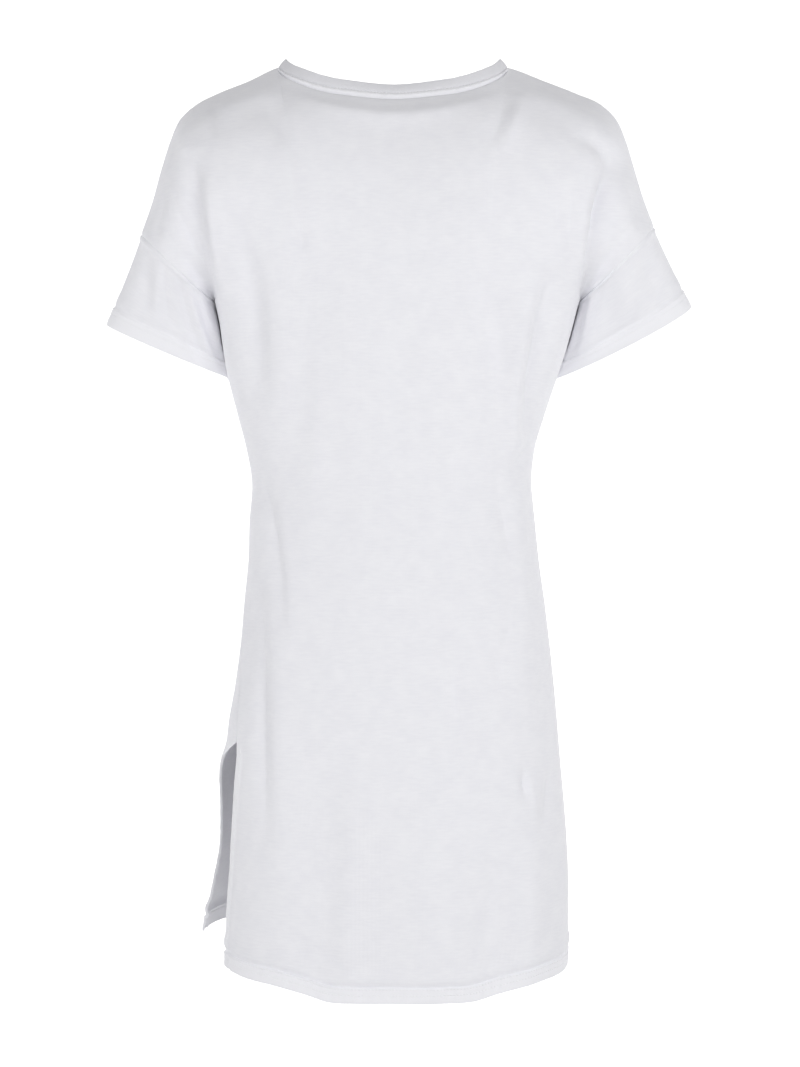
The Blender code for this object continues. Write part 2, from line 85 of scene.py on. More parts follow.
sections = (
    (-0.232, 0.1700, 0.1755, 0.111, 0.119, -0.015, -0.015),
    (-0.265, 0.1655, 0.1690, 0.109, 0.120, -0.010, -0.010),
    (-0.300, 0.1600, 0.1578, 0.107, 0.118, -0.004, -0.004),
    (-0.340, 0.1498, 0.1445, 0.103, 0.112, 0.000, 0.000),
    (-0.370, 0.1420, 0.1357, 0.101, 0.107, 0.000, 0.000),
    (-0.404, 0.1362, 0.1317, 0.100, 0.104, 0.003, 0.000),
    (-0.442, 0.1385, 0.1345, 0.102, 0.104, 0.009, 0.000),
    (-0.481, 0.1397, 0.1385, 0.106, 0.105, 0.016, 0.000),
    (-0.519, 0.1437, 0.1440, 0.110, 0.107, 0.024, 0.000),
    (-0.558, 0.1472, 0.1490, 0.114, 0.109, 0.034, 0.000),
    (-0.596, 0.1518, 0.1530, 0.117, 0.111, 0.045, 0.000),
    (-0.635, 0.1585, 0.1565, 0.120, 0.113, 0.056, 0.000),
    (-0.673, 0.1612, 0.1595, 0.121, 0.115, 0.060, 0.000),
    (-0.712, 0.1605, 0.1630, 0.121, 0.116, 0.054, 0.000),
    (-0.769, 0.1625, 0.1665, 0.121, 0.117, 0.050, 0.000),
    (-0.866, 0.1650, 0.1665, 0.120, 0.118, 0.042, 0.000),
)
slitNames = ("height", "backEdge", "frontEdge", "frontOut")
slit = (
    (-0.6480, 0.0580, 0.0580, 0.0000),
    (-0.6650, 0.0610, 0.0310, 0.0036),
    (-0.6840, 0.0583, 0.0190, 0.0056),
    (-0.7120, 0.0528, 0.0100, 0.0059),
    (-0.7400, 0.0503, 0.0040, 0.0052),
    (-0.7690, 0.0497, 0.0000, 0.0049),
    (-0.8080, 0.0442, -0.0030, 0.0098),
    (-0.8660, 0.0412, -0.0050, 0.0195),
)
# The hem's height from the middle of a panel to its side edge
hemNames = ("share", "back", "frontLeft", "frontRight")
hemLine = (
    (0.00, -0.8800, -0.8520, -0.8520),
    (0.20, -0.8800, -0.8510, -0.8525),
    (0.32, -0.8795, -0.8470, -0.8540),
    (0.43, -0.8740, -0.8420, -0.8550),
    (0.57, -0.8685, -0.8360, -0.8560),
    (0.80, -0.8645, -0.8310, -0.8580),
    (1.00, -0.8600, -0.8365, -0.8600),
)
# Over the shoulder, from the middle of the neck to the top of the sleeve seam.
# Each row holds left x, right x, y, left z and right z.
shoulderLine = (
    (0.0000, 0.0000, -0.012, 0.000, 0.000),
    (0.0620, 0.0620, -0.007, 0.000, 0.000),
    (0.1120, 0.1100, 0.000, -0.006, -0.006),
    (0.1400, 0.1450, 0.000, -0.019, -0.019),
    (0.1700, 0.1760, 0.000, -0.031, -0.031),
    (0.1900, 0.1990, -0.001, -0.041, -0.041),
    (0.2065, 0.2145, -0.002, -0.056, -0.056),
    (0.2150, 0.2230, -0.003, -0.075, -0.075),
    (0.2230, 0.2300, -0.004, -0.100, -0.098),
    (0.2325, 0.2395, -0.005, -0.135, -0.130),
    (0.2430, 0.2500, -0.005, -0.165, -0.158),
)
# Up the middle of each panel, y and z
profiles = {
    back: (
        (0.111, -0.232), (0.110, -0.190), (0.105, -0.145), (0.094, -0.100),
        (0.076, -0.063), (0.052, -0.040), (0.022, -0.016), (-0.012, 0.000),
    ),
    front: (
        (-0.119, -0.232), (-0.120, -0.195), (-0.116, -0.155), (-0.106, -0.118),
        (-0.088, -0.088), (-0.068, -0.052), (-0.044, -0.020), (-0.012, 0.000),
    ),
}

# Creases on a panel seen square on: three points of a curved line, half width and depth (a ridge is positive)
creaseNames = ("x0", "z0", "x1", "z1", "x2", "z2", "width", "depth")
creases = {
    back: (
        (0.191, -0.095, 0.187, -0.155, 0.172, -0.235, 0.013, -0.0160),
        (-0.208, -0.090, -0.198, -0.150, -0.178, -0.232, 0.013, -0.0160),
        (-0.207, -0.112, -0.194, -0.158, -0.178, -0.218, 0.006, -0.0060),
        (-0.162, -0.085, -0.197, -0.097, -0.212, -0.122, 0.009, -0.0053),
        (0.146, -0.138, 0.133, -0.250, 0.125, -0.345, 0.015, -0.0105),
        (0.098, -0.175, 0.072, -0.235, 0.094, -0.400, 0.020, -0.0083),
        (0.086, -0.185, 0.070, -0.250, 0.082, -0.540, 0.011, 0.0033),
        (-0.087, -0.210, -0.096, -0.270, -0.106, -0.340, 0.018, -0.0083),
        (-0.131, -0.215, -0.114, -0.310, -0.111, -0.400, 0.011, 0.0075),
        (-0.146, -0.205, -0.134, -0.288, -0.122, -0.372, 0.010, -0.0120),
        (0.131, -0.398, 0.110, -0.455, 0.101, -0.560, 0.009, -0.0065),
        (0.119, -0.420, 0.100, -0.480, 0.094, -0.570, 0.011, 0.0037),
        (0.127, -0.488, 0.121, -0.600, 0.118, -0.755, 0.009, -0.0067),
        (0.112, -0.500, 0.106, -0.620, 0.104, -0.800, 0.016, 0.0037),
        (-0.140, -0.360, -0.124, -0.377, -0.108, -0.394, 0.007, -0.0060),
        (-0.094, -0.392, -0.102, -0.440, -0.110, -0.500, 0.008, -0.0026),
        (-0.111, -0.480, -0.107, -0.530, -0.098, -0.575, 0.007, -0.0022),
        (-0.099, -0.545, -0.097, -0.580, -0.104, -0.622, 0.007, -0.0022),
        (-0.118, -0.400, -0.122, -0.500, -0.114, -0.640, 0.016, 0.0045),
        (-0.055, -0.575, -0.060, -0.615, -0.069, -0.665, 0.010, -0.0033),
        (-0.119, -0.668, -0.121, -0.684, -0.124, -0.700, 0.005, -0.0052),
        (-0.127, -0.684, -0.129, -0.698, -0.133, -0.712, 0.006, 0.0036),
        (-0.142, -0.676, -0.144, -0.700, -0.134, -0.732, 0.007, -0.0053),
        (0.060, -0.640, 0.066, -0.760, 0.074, -0.900, 0.022, -0.0067),
        (0.036, -0.660, 0.040, -0.780, 0.044, -0.900, 0.014, 0.0033),
        (-0.020, -0.690, -0.026, -0.800, -0.034, -0.900, 0.026, 0.0045),
        (-0.096, -0.700, -0.094, -0.800, -0.086, -0.900, 0.018, -0.0067),
        (-0.128, -0.720, -0.126, -0.800, -0.124, -0.900, 0.013, 0.0037),
        (0.176, -0.120, 0.168, -0.180, 0.158, -0.250, 0.010, 0.0060),
        (-0.182, -0.150, -0.172, -0.205, -0.160, -0.265, 0.009, 0.0053),
        (-0.151, -0.130, -0.153, -0.165, -0.155, -0.200, 0.006, -0.0024),
        (-0.164, -0.135, -0.164, -0.165, -0.162, -0.200, 0.006, -0.0024),
        (0.144, -0.500, 0.138, -0.540, 0.136, -0.600, 0.009, -0.0045),
        (-0.126, -0.420, -0.128, -0.470, -0.134, -0.520, 0.008, -0.0030),
        (0.094, -0.826, 0.070, -0.834, 0.044, -0.834, 0.005, -0.0021),
        (-0.120, -0.042, -0.111, -0.070, -0.098, -0.104, 0.010, 0.0053),
        (-0.108, -0.048, -0.100, -0.072, -0.088, -0.100, 0.010, -0.0037),
        (0.115, -0.048, 0.110, -0.072, 0.100, -0.098, 0.010, -0.0045),
        (0.168, -0.048, 0.166, -0.066, 0.165, -0.086, 0.005, -0.0030),
        (0.213, -0.130, 0.200, -0.165, 0.186, -0.200, 0.006, -0.0045),
        (0.203, -0.130, 0.186, -0.172, 0.178, -0.202, 0.006, 0.0037),
        (0.214, -0.112, 0.219, -0.150, 0.225, -0.184, 0.006, -0.0030),
        (-0.228, -0.130, -0.229, -0.148, -0.230, -0.168, 0.005, -0.0027),
        (0.104, -0.040, 0.150, -0.056, 0.205, -0.092, 0.014, 0.0050),
        (-0.104, -0.040, -0.154, -0.056, -0.212, -0.092, 0.014, 0.0050),
        (0.108, -0.038, 0.000, -0.067, -0.108, -0.038, 0.009, 0.0038),
        (0.010, -0.300, 0.014, -0.420, 0.004, -0.560, 0.030, 0.0024),
        (-0.050, -0.240, -0.058, -0.330, -0.046, -0.450, 0.024, 0.0024),
    ),
    front: (
        (0.193, -0.100, 0.188, -0.160, 0.174, -0.235, 0.013, -0.0160),
        (-0.202, -0.098, -0.196, -0.155, -0.178, -0.232, 0.013, -0.0160),
        (0.150, -0.170, 0.124, -0.240, 0.110, -0.330, 0.013, -0.0097),
        (-0.152, -0.165, -0.130, -0.245, -0.104, -0.320, 0.014, -0.0090),
        (0.130, -0.200, 0.104, -0.280, 0.094, -0.360, 0.011, 0.0045),
        (-0.128, -0.210, -0.106, -0.285, -0.090, -0.350, 0.011, 0.0045),
        (0.084, -0.215, 0.078, -0.300, 0.096, -0.395, 0.018, -0.0067),
        (-0.078, -0.220, -0.086, -0.300, -0.100, -0.380, 0.018, -0.0067),
        (0.136, -0.400, 0.108, -0.450, 0.098, -0.560, 0.010, -0.0090),
        (-0.134, -0.392, -0.108, -0.440, -0.102, -0.550, 0.010, -0.0090),
        (0.118, -0.430, 0.096, -0.490, 0.088, -0.580, 0.010, 0.0037),
        (-0.114, -0.420, -0.094, -0.480, -0.088, -0.570, 0.010, 0.0037),
        (0.122, -0.520, 0.112, -0.630, 0.116, -0.760, 0.011, -0.0067),
        (-0.128, -0.540, -0.118, -0.660, -0.124, -0.790, 0.012, -0.0067),
        (0.048, -0.600, 0.052, -0.740, 0.058, -0.890, 0.022, -0.0067),
        (-0.052, -0.620, -0.058, -0.740, -0.066, -0.890, 0.022, -0.0067),
        (0.000, -0.560, -0.004, -0.700, -0.006, -0.890, 0.028, 0.0045),
        (0.086, -0.640, 0.088, -0.760, 0.094, -0.880, 0.014, 0.0037),
        (-0.092, -0.660, -0.094, -0.770, -0.098, -0.890, 0.014, 0.0037),
        (0.140, -0.420, 0.128, -0.434, 0.112, -0.440, 0.007, -0.0045),
        (-0.138, -0.410, -0.124, -0.424, -0.110, -0.428, 0.007, -0.0045),
        (0.142, -0.490, 0.136, -0.540, 0.134, -0.600, 0.009, -0.0037),
        (-0.170, -0.150, -0.164, -0.190, -0.152, -0.240, 0.009, 0.0045),
        (0.172, -0.150, 0.166, -0.190, 0.156, -0.245, 0.009, 0.0045),
        (0.208, -0.128, 0.196, -0.165, 0.184, -0.200, 0.006, -0.0037),
        (-0.212, -0.124, -0.198, -0.160, -0.186, -0.196, 0.006, -0.0037),
        (0.020, -0.260, 0.028, -0.380, 0.016, -0.500, 0.028, 0.0024),
        (-0.034, -0.300, -0.030, -0.400, -0.040, -0.520, 0.026, -0.0021),
    ),
}

# How a crease runs: narrow ones have a sharper line, all fade at their ends and near seams and edges
creaseForm = {
    "crispBelow": 0.014,
    "crispOver": 0.012,
    "mostCrisp": 0.6,
    "cusp": 0.55,
    "endFade": 0.9,
    "sideFadeLow": 0.026,
    "sideFadeHigh": 0.014,
    "topFade": 0.03,
}

# The short sleeves: cuff's outer and inner point, and how the sleeve flares
sleeve = {
    "wall": 0.0011,
    "hemWall": 0.0022,
    "rings": 40,
    "length": 0.095,
    "cuffSteps": (
        0.0, 0.0012, 0.004, 0.008, 0.012, 0.0145, 0.0162, 0.0176, 0.019, 0.0204, 0.022, 0.025, 0.029,
    ),
    "seamSteps": (0.0, 0.0010, 0.0024, 0.0045),
    "cuffDepth": 0.049,
    "clear": 0.0012,
    "opens": 0.10,
    "bodyReach": 0.006,
    "beside": {"from": 0.09, "above": -0.37},
    "creaseFade": 0.6,
    "cuffs": {
        left: {
            "outer": (0.2800, -0.030, -0.2500), "inner": (0.140, -0.052, -0.3075),
            "flare": 1.10, "turn": 6,
        },
        right: {
            "outer": (0.2896, -0.030, -0.2324), "inner": (0.144, -0.052, -0.3045),
            "flare": 1.06, "turn": 11,
        },
    },
}
# Creases round a sleeve: degrees from the outer side towards the back, share of the length, width and depth
sleeveCreaseNames = ("angle0", "along0", "angle1", "along1", "width", "depth")
sleeveCreases = {
    left: (
        (50, 0.05, 62, 0.75, 12, -0.004),
        (100, 0.05, 84, 0.95, 13, -0.005),
        (250, 0.05, 268, 0.90, 14, -0.005),
        (310, 0.10, 300, 0.80, 12, -0.004),
        (76, 0.02, 85, 0.70, 5, -0.0022),
        (66, 0.10, 72, 0.80, 6, 0.0015),
        (98, 0.02, 116, 0.98, 6, -0.0030),
        (108, 0.05, 124, 0.85, 6, 0.0020),
        (122, 0.05, 134, 0.95, 6, -0.0025),
    ),
    right: (
        (62, 0.05, 48, 0.80, 12, -0.004),
        (112, 0.05, 92, 0.90, 13, -0.005),
        (240, 0.05, 262, 0.95, 14, -0.005),
        (304, 0.10, 312, 0.80, 12, -0.004),
        (82, 0.02, 76, 0.50, 6, -0.0015),
        (126, 0.02, 120, 0.60, 6, -0.0022),
        (100, 0.20, 96, 0.95, 8, 0.0015),
        (140, 0.05, 132, 0.90, 6, -0.0025),
    ),
}

neckband = {
    "wall": 0.0019,
    "lean": 0.0075,
    "rise": 0.0095,
    "rings": 9,
    "swell": 0.0006,
    "seamDepth": 0.0005,
    "seamWidth": 0.12,
}

# Turned hems: band width, how proud it stands, and where its rows of stitching run
hems = {
    "body": {
        "width": 0.0142, "proud": 0.0006, "groove": 0.0018, "roll": 0.0016, "ridge": 0.0011,
        "stitching": (0.0078, 0.0130),
    },
    "sleeve": {
        "width": 0.0196, "proud": 0.0008, "groove": 0.0007, "roll": 0.0005, "ridge": 0,
        "stitching": (0.0130, 0.0182),
    },
    "slit": {
        "width": 0.0110, "proud": 0.0006, "groove": 0.0006, "roll": 0.0003, "ridge": 0,
        "stitching": (0.0092,),
    },
    "neck": {
        "width": 0.0078, "proud": 0.0014, "groove": 0.0026, "roll": 0.0004, "ridge": 0,
        "stitching": (0.0018, 0.0062),
    },
}
# What all hems share: how far beyond the band each form lies, and how wide it is
hemForm = {
    "step": {"beyond": 0.0016, "width": 0.0024},
    "edge": {"share": 0.9, "width": 0.0012},
    "sunk": {"depth": 0.0004, "width": 0.0010},
    "groove": {"beyond": 0.0008, "width": 0.0018},
    "roll": {"beyond": 0.0085, "width": 0.0055},
    "ridge": {"beyond": -0.0004, "width": 0.0011},
    "uneven": {"share": 0.35, "long": 0.173, "short": 0.061, "shift": 1.1},
    "pucker": {
        "depth": 0.00012, "long": 0.047, "short": 0.0115, "swing": 1.3, "beyond": 0.004, "width": 0.006,
    },
    "doubledFade": 0.0012,
}
# Seams are pressed in along the sides and shoulders, and stand up as a soft ridge round the armholes
seams = {
    "side": {"depth": 0.0008, "width": 0.0014},
    "shoulder": {"depth": 0.0005, "width": 0.0012},
    "armhole": {"height": 0.0012, "beyond": 0.0030, "width": 0.0022, "from": 0.0012},
}
softEdge = {"width": 0.0004, "segments": 2, "angle": 50}
stitch = {"pitch": 0.0031, "length": 0.0026, "width": 0.0007, "height": 0.0006, "raised": 0.2}


def between(rows, names, name, at):
    # One named column of a table, smoothly interpolated along its first column
    table = np.array(rows, dtype=float)
    keys, values = table[:, 0], table[:, names.index(name)]
    if keys[0] > keys[-1]:
        keys, values = keys[::-1], values[::-1]
    at = np.clip(at, keys[0], keys[-1])
    slopes = np.gradient(values, keys)
    cell = np.clip(np.searchsorted(keys, at) - 1, 0, len(keys) - 2)
    span = keys[cell + 1] - keys[cell]
    t = (at - keys[cell]) / span
    return (
        (2 * t**3 - 3 * t**2 + 1) * values[cell]
        + (t**3 - 2 * t**2 + t) * span * slopes[cell]
        + (3 * t**2 - 2 * t**3) * values[cell + 1]
        + (t**3 - t**2) * span * slopes[cell + 1]
    )


def ease(x):
    x = np.clip(x, 0, 1)
    return x * x * (3 - 2 * x)


def bump(distance, width):
    return np.exp(-((distance / width) ** 2))


def smoothLine(points, steps=240):
    points = np.array(points, dtype=float)
    walked = np.concatenate([[0], np.cumsum(np.linalg.norm(np.diff(points, axis=0), axis=1))])
    names = ("key",) + tuple(range(points.shape[1]))
    rows = np.column_stack([walked, points])
    at = np.linspace(0, walked[-1], steps)
    return np.column_stack([between(rows, names, axis, at) for axis in range(points.shape[1])])


def shareOut(line, shares):
    # The points at the given shares of a line's length
    walked = np.concatenate([[0], np.cumsum(np.linalg.norm(np.diff(line, axis=0), axis=1))])
    return np.column_stack([np.interp(shares, walked / walked[-1], line[:, axis]) for axis in range(3)])


def sectionHalf(height, side, face):
    # Half a level section, from the middle of a panel round to its side seam
    name = "left" if side == left else "right"
    width = between(sections, sectionNames, name, height)
    depths = {
        back: between(sections, sectionNames, "back", height),
        front: between(sections, sectionNames, "front", height),
    }
    seam = between(sections, sectionNames, name + "Seam", height)
    if side == left and height < slit[0][0]:
        seam = between(slit, slitNames, "backEdge" if face == back else "frontEdge", height)
    towards = back if seam >= 0 else front
    seamAngle = acos(towards * (abs(seam) / depths[towards]) ** (body["ovalness"] / 2))
    angles = np.linspace(0 if face == back else pi, seamAngle, 480)
    power = 2 / body["ovalness"]
    x = side * width * np.abs(np.sin(angles)) ** power
    depth = np.where(np.cos(angles) >= 0, depths[back], depths[front])
    y = np.sign(np.cos(angles)) * depth * np.abs(np.cos(angles)) ** power
    return np.column_stack([x, y, np.full_like(x, height)])


def columnShares(neckShare, raised):
    # Shares of a half row, even low down and gathered round the neck point near the top
    edge = 1 - np.array(body["edgeSteps"][::-1]) / body["halfGirth"]
    inner = body["neckColumns"] + body["shoulderColumns"]
    even = np.concatenate([np.linspace(0, edge[0], inner + 1), edge[1:]])
    neck = neckShare * np.sin(np.linspace(0, pi / 2, body["neckColumns"] + 1))
    steps = 1 - (1 - np.linspace(0, 1, body["shoulderColumns"] + 1)) ** body["edgeGather"]
    top = np.concatenate([neck, neckShare + (edge[0] - neckShare) * steps[1:], edge[1:]])
    return even * (1 - raised) + top * raised


def shoulderHalf(side):
    chosen = (0, 2, 3) if side == left else (1, 2, 4)
    points = np.array(shoulderLine)[:, chosen]
    points[:, 0] *= side
    return points


def shoulderCurve(side):
    # The shoulder line as a close run of points, level where it crosses the middle
    points = shoulderHalf(side)
    mirrored = points[:0:-1] * np.array([-1, 1, 1])
    return smoothLine(np.concatenate([mirrored, points]), 1601)[800:]


def neckShareOf(side):
    curve = shoulderCurve(side)
    lengths = np.concatenate([[0], np.cumsum(np.linalg.norm(np.diff(curve, axis=0), axis=1))])
    nearest = np.abs(curve[:, 0] - shoulderHalf(side)[body["neckPoint"]][0]).argmin()
    return lengths[nearest] / lengths[-1]


def middleProfile(face):
    thisSide = [(0, y, z) for y, z in profiles[face]]
    otherSide = [(0, y, z) for y, z in profiles[-face]]
    curve = smoothLine(thisSide + otherSide[-2::-1], 801)
    top = np.linalg.norm(curve - np.array(thisSide[-1]), axis=1).argmin()
    return curve[: top + 1]


def rowKeys():
    # Shares of the way up the armhole, close together at the top
    edge = 1 - np.array(body["neckSteps"][::-1]) / body["yokeLength"]
    return np.concatenate([np.linspace(0, edge[0], body["yokeRows"] + 1), edge[1:]])


def armholeHalf(side, face, keys):
    # The sleeve seam from the underarm, over one face of the body, to the shoulder seam
    outer = shoulderHalf(side)[-1]
    inner = sectionHalf(sections[0][0], side, face)[-1]
    angles = pi * (1 - keys)
    across = np.array([0, face * body["armholeDepth"], -body["armholeDroop"]])
    reach = (outer - inner) / 2
    return (outer + inner) / 2 + np.outer(np.cos(angles), reach) + np.outer(np.sin(angles), across)


def yokeHalf(side, face):
    # Rows from the underarm level to the shoulder seam and neckline, over half a panel
    keys = np.linspace(0, 1, 481)
    neckShare = neckShareOf(side)
    shares = columnShares(neckShare, 1.0)
    lower = shareOut(sectionHalf(sections[0][0], side, face), columnShares(neckShare, body["lowGather"]))
    upper = shareOut(shoulderCurve(side), shares)
    middle = shareOut(middleProfile(face), keys)
    edge = armholeHalf(side, face, keys)
    s = shares[None, :, None] ** 2
    backOff = 1 - np.cos(keys * pi / 2) ** body["yokeSlack"]
    up = np.column_stack([keys, backOff, np.sin(keys * pi / 2)])[:, None]
    patch = (1 - up) * lower[None] + up * upper[None] + (1 - s) * middle[:, None] + s * edge[:, None]
    patch -= (1 - up) * ((1 - s) * lower[0] + s * lower[-1]) + up * ((1 - s) * upper[0] + s * upper[-1])
    rows = rowKeys()
    neckX = shoulderHalf(side)[body["neckPoint"]][0]
    columns = []
    for column in range(patch.shape[1]):
        line = patch[:, column]
        top = 1.0
        if column < body["neckColumns"]:
            across = np.abs(line[:, 0] / neckX) ** body["neckSquareness"][face]
            roundNeck = across + (line[:, 1] / body["neckDepth"][face]) ** 2
            last = np.nonzero((roundNeck > 1) & (line[:, 1] * face > 0))[0][-1]
            into = (roundNeck[last] - 1) / (roundNeck[last] - roundNeck[last + 1])
            top = keys[last] + into * (keys[1] - keys[0])
        columns.append(np.column_stack([np.interp(rows * top, keys, line[:, axis]) for axis in range(3)]))
    return np.stack(columns, axis=1)


def hemHeight(side, face, shares):
    name = "back"
    if face == front:
        name = "frontLeft" if side == left else "frontRight"
    return between(hemLine, hemNames, name, shares)


def bodyHeights():
    # Heights of the rows from the hem up, close together in the hem, with one at the slit's top
    low = body["hemLevel"] + np.array(body["hemSteps"])
    lower = np.linspace(low[-1], slit[0][0], body["slitRows"] + 1)
    upper = np.linspace(slit[0][0], sections[0][0], body["waistRows"] + 1)
    return np.concatenate([low, lower[1:], upper[1:-1]])


def bodyHalf(side, face):
    rows = []
    neckShare = neckShareOf(side)
    slitTop = slit[0][0]
    for height in bodyHeights():
        up = (height - body["hemLevel"]) / (sections[0][0] - body["hemLevel"])
        shares = columnShares(neckShare, body["lowGather"] * up**2)
        row = shareOut(sectionHalf(height, side, face), shares)
        dip = ease((slitTop - height) / (slitTop - body["hemLevel"]))
        row[:, 2] += (hemHeight(side, face, shares) - body["hemLevel"]) * dip
        if side == left and face == front and height < slitTop:
            girth = np.linalg.norm(np.diff(row, axis=0), axis=1).sum()
            nearEdge = ease(1 - (1 - shares) * girth / body["slitReach"])
            row[:, 0] += between(slit, slitNames, "frontOut", height) * nearEdge
        rows.append(row)
    return np.array(rows)


def walked(grid, axis):
    # Distance over the cloth from the first row or column
    steps = np.linalg.norm(np.diff(grid, axis=axis), axis=2)
    start = np.zeros_like(steps.take([0], axis=axis))
    return np.concatenate([start, np.cumsum(steps, axis=axis)], axis=axis)


def relaxUnderarm(grid):
    # Evens out the cloth round the underarm level, where body and yoke join
    near = 1 - ease(np.abs(grid[..., 2] - sections[0][0]) / body["underarmReach"])
    fromRight = walked(grid, 1)
    fromLeft = fromRight[:, -1:] - fromRight
    near *= ease(np.minimum(fromRight, fromLeft) / body["underarmEdge"])
    near = near[1:-1, 1:-1, None]
    for _ in range(body["underarmRelax"]):
        around = grid[:-2, 1:-1] + grid[2:, 1:-1] + grid[1:-1, :-2] + grid[1:-1, 2:]
        grid[1:-1, 1:-1] += near * (around * 0.25 - grid[1:-1, 1:-1]) * 0.5
    return grid


def normalsOf(grid, closed, turned):
    if closed:
        across = np.roll(grid, -1, axis=1) - np.roll(grid, 1, axis=1)
    else:
        across = np.gradient(grid, axis=1)
    normals = np.cross(across, np.gradient(grid, axis=0)) * (-1 if turned else 1)
    return normals / np.linalg.norm(normals, axis=2, keepdims=True)


def creaseLift(x, z, table):
    # How far the creases of a table move each point off the smooth cloth
    lift = np.zeros_like(x)
    t = np.linspace(0, 1, 41)
    start, middle, end = (1 - t) * (1 - 2 * t), 4 * t * (1 - t), t * (2 * t - 1)
    for crease in table:
        row = dict(zip(creaseNames, crease))
        lineX = start * row["x0"] + middle * row["x1"] + end * row["x2"]
        lineZ = start * row["z0"] + middle * row["z1"] + end * row["z2"]
        apart = np.hypot(x[..., None] - lineX, z[..., None] - lineZ)
        nearest = apart.argmin(axis=-1)
        fade = np.sin(pi * t[nearest]) ** creaseForm["endFade"]
        off = apart.min(axis=-1)
        crisp = (creaseForm["crispBelow"] - row["width"]) / creaseForm["crispOver"]
        crisp = np.clip(crisp, 0, creaseForm["mostCrisp"])
        cusp = np.exp(-off / (creaseForm["cusp"] * row["width"]))
        across = (1 - crisp) * bump(off, row["width"]) + crisp * cusp
        lift += row["depth"] * fade * across
    return lift


def hemLift(distance, along, look):
    # A turned hem stands a little proud, rolls off at its edge and is pressed down along its stitching
    form = hemForm
    past = distance - look["width"]
    lift = look["proud"] * ease((form["step"]["beyond"] - past) / form["step"]["width"])
    lift -= look["proud"] * form["edge"]["share"] * bump(distance, form["edge"]["width"])
    for row in look["stitching"][:-1]:
        lift -= form["sunk"]["depth"] * bump(distance - row, form["sunk"]["width"])
    waves = form["uneven"]
    uneven = np.sin(along * 2 * pi / waves["long"]) * np.sin(along * 2 * pi / waves["short"] + waves["shift"])
    uneven = 1 + waves["share"] * uneven
    lift -= look["groove"] * bump(past - form["groove"]["beyond"], form["groove"]["width"])
    lift += look["roll"] * uneven * bump(past - form["roll"]["beyond"], form["roll"]["width"])
    lift += look["ridge"] * bump(past - form["ridge"]["beyond"], form["ridge"]["width"])
    small = form["pucker"]
    swing = small["swing"] * np.sin(along * 2 * pi / small["long"])
    pucker = np.sin(along * 2 * pi / small["short"] + swing)
    lift += small["depth"] * pucker * ease((small["beyond"] - past) / small["width"])
    return lift


def slitRow():
    # The row at the slit's top
    return int(np.argmin(np.abs(bodyHeights() - slit[0][0])))


def panelGrid(face):
    # A whole panel from the wearer's right edge to the left one, hem to top
    halves = []
    for side in (right, left):
        half = np.concatenate([bodyHalf(side, face), yokeHalf(side, face)])
        halves.append(half[:, ::-1] if side == right else half[:, 1:])
    grid = relaxUnderarm(np.concatenate(halves, axis=1))
    out = normalsOf(grid, False, face == back)
    rows = len(bodyHeights())
    fromRight, fromHem = walked(grid, 1), walked(grid, 0)
    fromLeft = fromRight[:, -1:] - fromRight
    fromTop = fromHem[-1:] - fromHem
    lift = creaseLift(grid[..., 0], grid[..., 2], creases[face])
    low = (np.arange(len(grid)) <= rows)[:, None]
    reach = np.where(low, creaseForm["sideFadeLow"], creaseForm["sideFadeHigh"])
    lift *= ease(np.minimum(fromRight, fromLeft) / reach) * ease(fromTop / creaseForm["topFade"])
    lift += hemLift(fromHem, fromRight, hems["body"])
    opens = ease((slitRow() - np.arange(len(grid))) / body["slitFadeRows"])[:, None]
    lift += hemLift(fromLeft, fromHem, hems["slit"]) * opens
    inNeck = neckWeight(fromRight)
    lift += hemLift(fromTop, fromRight, hems["neck"]) * inNeck
    seamSide = np.minimum(fromRight, fromLeft)
    sewn = np.where(fromLeft < fromRight, 1 - opens, 1)
    lift -= seams["side"]["depth"] * bump(seamSide, seams["side"]["width"]) * sewn
    lift -= seams["shoulder"]["depth"] * bump(fromTop, seams["shoulder"]["width"]) * (1 - inNeck)
    return grid + out * lift[..., None]


def neckSpan():
    # The first column of the neckline and the one after its last
    half = body["neckColumns"] + body["shoulderColumns"] + len(body["edgeSteps"]) - 1
    return half - body["neckColumns"], half + body["neckColumns"] + 1


def neckWeight(fromRight):
    # One along the neckline, easing to nothing at the two neck points
    first, last = neckSpan()
    inside = np.minimum(fromRight - fromRight[:, [first]], fromRight[:, [last - 1]] - fromRight)
    return ease(inside / body["neckPointFade"])


def sleeveAngles():
    over = pi * (1 - rowKeys())[::-1]
    return np.concatenate([over, 2 * pi - over[::-1][1:-1]])


def sleeveLoop(panels, side):
    # The sleeve seam all round: down the back from the shoulder, then up the front
    edge = -1 if side == left else 0
    start = len(bodyHeights())
    down = panels[back][start:, edge][::-1]
    return np.concatenate([down, panels[front][start:, edge][1:-1]])


def bodyBeside(panels, side):
    # The body's points and normals below one armhole, where the sleeve lies along it
    points, normals = [], []
    rows = len(bodyHeights()) + 1
    for face in (back, front):
        grid = panels[face][:rows]
        beside = grid[..., 0] * side > sleeve["beside"]["from"]
        beside &= grid[..., 2] > sleeve["beside"]["above"]
        points.append(grid[beside])
        normals.append(normalsOf(panels[face], False, face == back)[:rows][beside])
    return np.concatenate(points), np.concatenate(normals)


def movedClear(ring, points, normals):
    # A sleeve's ring moved sideways off the body where it would come too near
    ring = ring.copy()
    for _ in range(4):
        apart = ring[:, None] - points
        squares = (apart**2).sum(axis=2)
        weights = np.exp((squares.min(axis=1, keepdims=True) - squares) / sleeve["bodyReach"] ** 2)
        weights /= weights.sum(axis=1, keepdims=True)
        room = ((apart * normals).sum(axis=2) * weights).sum(axis=1)
        ring[:, 0] += np.maximum(sleeve["clear"] - room, 0) / (weights @ normals)[:, 0]
    return ring


